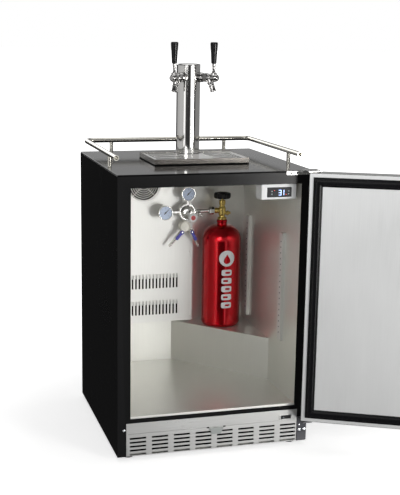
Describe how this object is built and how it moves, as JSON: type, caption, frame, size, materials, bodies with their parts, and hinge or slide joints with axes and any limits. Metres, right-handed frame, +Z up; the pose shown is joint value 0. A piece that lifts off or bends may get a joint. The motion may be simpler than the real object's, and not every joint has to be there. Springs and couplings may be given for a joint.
{
  "type": "kegerator",
  "caption": "Under-counter beer dispenser: black cabinet with an open steel door, chrome draft tower, drip tray, top rail, and a red gas cylinder with regulator inside.",
  "frame": {"origin": "centre of the base pan's underside, midway between the cabinet's sides, front and back", "axes": "+X to the right seen from the front, +Y towards the back wall, +Z up through the tower"},
  "size_m": [1.1295, 0.9352, 1.2435],
  "materials": {
    "black_paint": "satin",
    "black_gloss": "gloss",
    "brushed": "satin",
    "bright": "polished",
    "zinc": "satin",
    "dark_steel": "satin",
    "black_plastic": "satin",
    "white_plastic": "satin",
    "display": "gloss",
    "rubber": "matte",
    "foam": "matte",
    "brass": "satin",
    "red_paint": "gloss",
    "blue_plastic": "satin",
    "dial": "satin",
    "needle": "matte"
  },
  "bodies": {
    "cabinet": {"cabinet_wrapper": "black_paint", "top_panel": "black_gloss", "liner": "brushed", "foam_insulation": "foam", "base_pan": "zinc", "kick_header": "brushed", "kick_grille": "brushed", "catch_plate": "zinc", "lower_hinge_bracket": "dark_steel", "upper_hinge_bracket": "zinc", "rear_service_cover": "black_paint", "controller_housing": "white_plastic", "controller_display": "display", "evaporator_cover": "brushed", "evaporator_fan_guard": "zinc", "evaporator_fan_motor": "dark_steel", "evaporator_coil": "zinc", "compressor": "black_paint", "condenser": "dark_steel", "guard_rail": "bright", "tower_column": "bright", "tower_cap": "bright", "faucet_shank_left": "bright", "faucet_shank_right": "bright", "faucet_body_left": "bright", "faucet_body_right": "bright"},
    "door": {"door_skin": "brushed", "door_inner_panel": "brushed", "door_foam": "foam", "door_gasket": "rubber", "door_handle": "brushed"},
    "left_tap": {"faucet_lever_left": "bright", "tap_handle_left": "black_plastic"},
    "right_tap": {"faucet_lever_right": "bright", "tap_handle_right": "black_plastic"},
    "power_switch": {"power_rocker": "black_plastic"},
    "foot_front_left": {"leveling_foot_front_left": "black_plastic"},
    "foot_front_right": {"leveling_foot_front_right": "black_plastic"},
    "foot_rear_left": {"leveling_foot_rear_left": "black_plastic"},
    "foot_rear_right": {"leveling_foot_rear_right": "black_plastic"},
    "button_1": {"controller_button_1": "white_plastic"},
    "button_2": {"controller_button_2": "white_plastic"},
    "button_3": {"controller_button_3": "white_plastic"},
    "button_4": {"controller_button_4": "white_plastic"},
    "cooler_fan": {"evaporator_fan": "black_plastic"},
    "condenser_fan": {"condenser_fan": "black_plastic"},
    "tray": {"drip_tray": "brushed"},
    "grate": {"drip_grate": "brushed"},
    "gas_cylinder": {"co2_cylinder": "red_paint", "cylinder_valve": "brass", "regulator_body": "bright", "gauge_left": "dial", "gauge_top": "dial"},
    "handwheel": {"valve_handwheel": "black_plastic"},
    "left_needle": {"gauge_needle_left": "needle"},
    "top_needle": {"gauge_needle_top": "needle"},
    "pressure_knob": {"adjusting_knob": "white_plastic"},
    "relief_ring": {"relief_ring": "bright"},
    "left_shutoff": {"shutoff_lever_left": "blue_plastic"},
    "right_shutoff": {"shutoff_lever_right": "blue_plastic"}
  },
  "joints": [
    {"name": "door_hinge", "type": "hinge", "parent": "cabinet", "child": "door", "pos_m": [0.289, -0.336, 0.086], "axis": [0, 0, 1], "range_deg": [-153, 0]},
    {"name": "left_tap_tilt", "type": "hinge", "parent": "cabinet", "child": "left_tap", "pos_m": [-0.05835, -0.00435, 1.139], "axis": [0.7071, -0.7071, 0], "range_deg": [0, 45]},
    {"name": "right_tap_tilt", "type": "hinge", "parent": "cabinet", "child": "right_tap", "pos_m": [0.07035, -0.00435, 1.139], "axis": [0.7071, 0.7071, 0], "range_deg": [0, 45]},
    {"name": "power_switch_rock", "type": "hinge", "parent": "cabinet", "child": "power_switch", "pos_m": [0.23575, -0.2984, 0.08325], "axis": [0, 0, 1], "range_deg": [-10, 0]},
    {"name": "foot_front_left_screw", "type": "slide", "parent": "cabinet", "child": "foot_front_left", "axis": [0, 0, -1], "range_m": [0, 0.02]},
    {"name": "foot_front_right_screw", "type": "slide", "parent": "cabinet", "child": "foot_front_right", "axis": [0, 0, -1], "range_m": [0, 0.02]},
    {"name": "foot_rear_left_screw", "type": "slide", "parent": "cabinet", "child": "foot_rear_left", "axis": [0, 0, -1], "range_m": [0, 0.02]},
    {"name": "foot_rear_right_screw", "type": "slide", "parent": "cabinet", "child": "foot_rear_right", "axis": [0, 0, -1], "range_m": [0, 0.02]},
    {"name": "button_1_press", "type": "slide", "parent": "cabinet", "child": "button_1", "axis": [0, 1, 0], "range_m": [0, 0.0008], "stiffness_N_per_m": 300},
    {"name": "button_2_press", "type": "slide", "parent": "cabinet", "child": "button_2", "axis": [0, 1, 0], "range_m": [0, 0.0008], "stiffness_N_per_m": 300},
    {"name": "button_3_press", "type": "slide", "parent": "cabinet", "child": "button_3", "axis": [0, 1, 0], "range_m": [0, 0.0008], "stiffness_N_per_m": 300},
    {"name": "button_4_press", "type": "slide", "parent": "cabinet", "child": "button_4", "axis": [0, 1, 0], "range_m": [0, 0.0008], "stiffness_N_per_m": 300},
    {"name": "cooler_fan_spin", "type": "hinge", "parent": "cabinet", "child": "cooler_fan", "pos_m": [-0.108, 0.202, 0.756], "axis": [0, 1, 0], "continuous": true},
    {"name": "condenser_fan_spin", "type": "hinge", "parent": "cabinet", "child": "condenser_fan", "pos_m": [-0.15, -0.152, 0.048], "axis": [0, 1, 0], "continuous": true},
    {"name": "tray_lift", "type": "slide", "parent": "cabinet", "child": "tray", "axis": [0, 0, 1], "range_m": [0, 0.04]},
    {"name": "grate_lift", "type": "slide", "parent": "tray", "child": "grate", "axis": [0, 0, 1], "range_m": [0, 0.03]},
    {"name": "cylinder_lift", "type": "slide", "parent": "cabinet", "child": "gas_cylinder", "axis": [0, 0, 1], "range_m": [0, 0.06]},
    {"name": "handwheel_turn", "type": "hinge", "parent": "gas_cylinder", "child": "handwheel", "pos_m": [0.162, 0.165, 0.716], "axis": [0, 0, 1], "range_deg": [0, 720]},
    {"name": "left_needle_turn", "type": "hinge", "parent": "gas_cylinder", "child": "left_needle", "pos_m": [-0.0435, 0.143, 0.666], "axis": [0, 1, 0], "range_deg": [-180, 90], "stiffness_Nm_per_rad": 0.001},
    {"name": "top_needle_turn", "type": "hinge", "parent": "gas_cylinder", "child": "top_needle", "pos_m": [0.0355, 0.143, 0.728], "axis": [0, 1, 0], "range_deg": [-180, 90], "stiffness_Nm_per_rad": 0.001},
    {"name": "pressure_knob_turn", "type": "hinge", "parent": "gas_cylinder", "child": "pressure_knob", "pos_m": [0.05, 0.144, 0.648], "axis": [0, -1, 0], "range_deg": [-360, 360]},
    {"name": "relief_ring_pull", "type": "slide", "parent": "gas_cylinder", "child": "relief_ring", "axis": [0, -1, 0], "range_m": [0, 0.004], "stiffness_N_per_m": 800},
    {"name": "left_shutoff_turn", "type": "hinge", "parent": "gas_cylinder", "child": "left_shutoff", "pos_m": [0.0155, 0.149, 0.596], "axis": [0, 1, 0], "range_deg": [0, 90]},
    {"name": "right_shutoff_turn", "type": "hinge", "parent": "gas_cylinder", "child": "right_shutoff", "pos_m": [0.051, 0.149, 0.596], "axis": [0, -1, 0], "range_deg": [0, 90]}
  ]
}
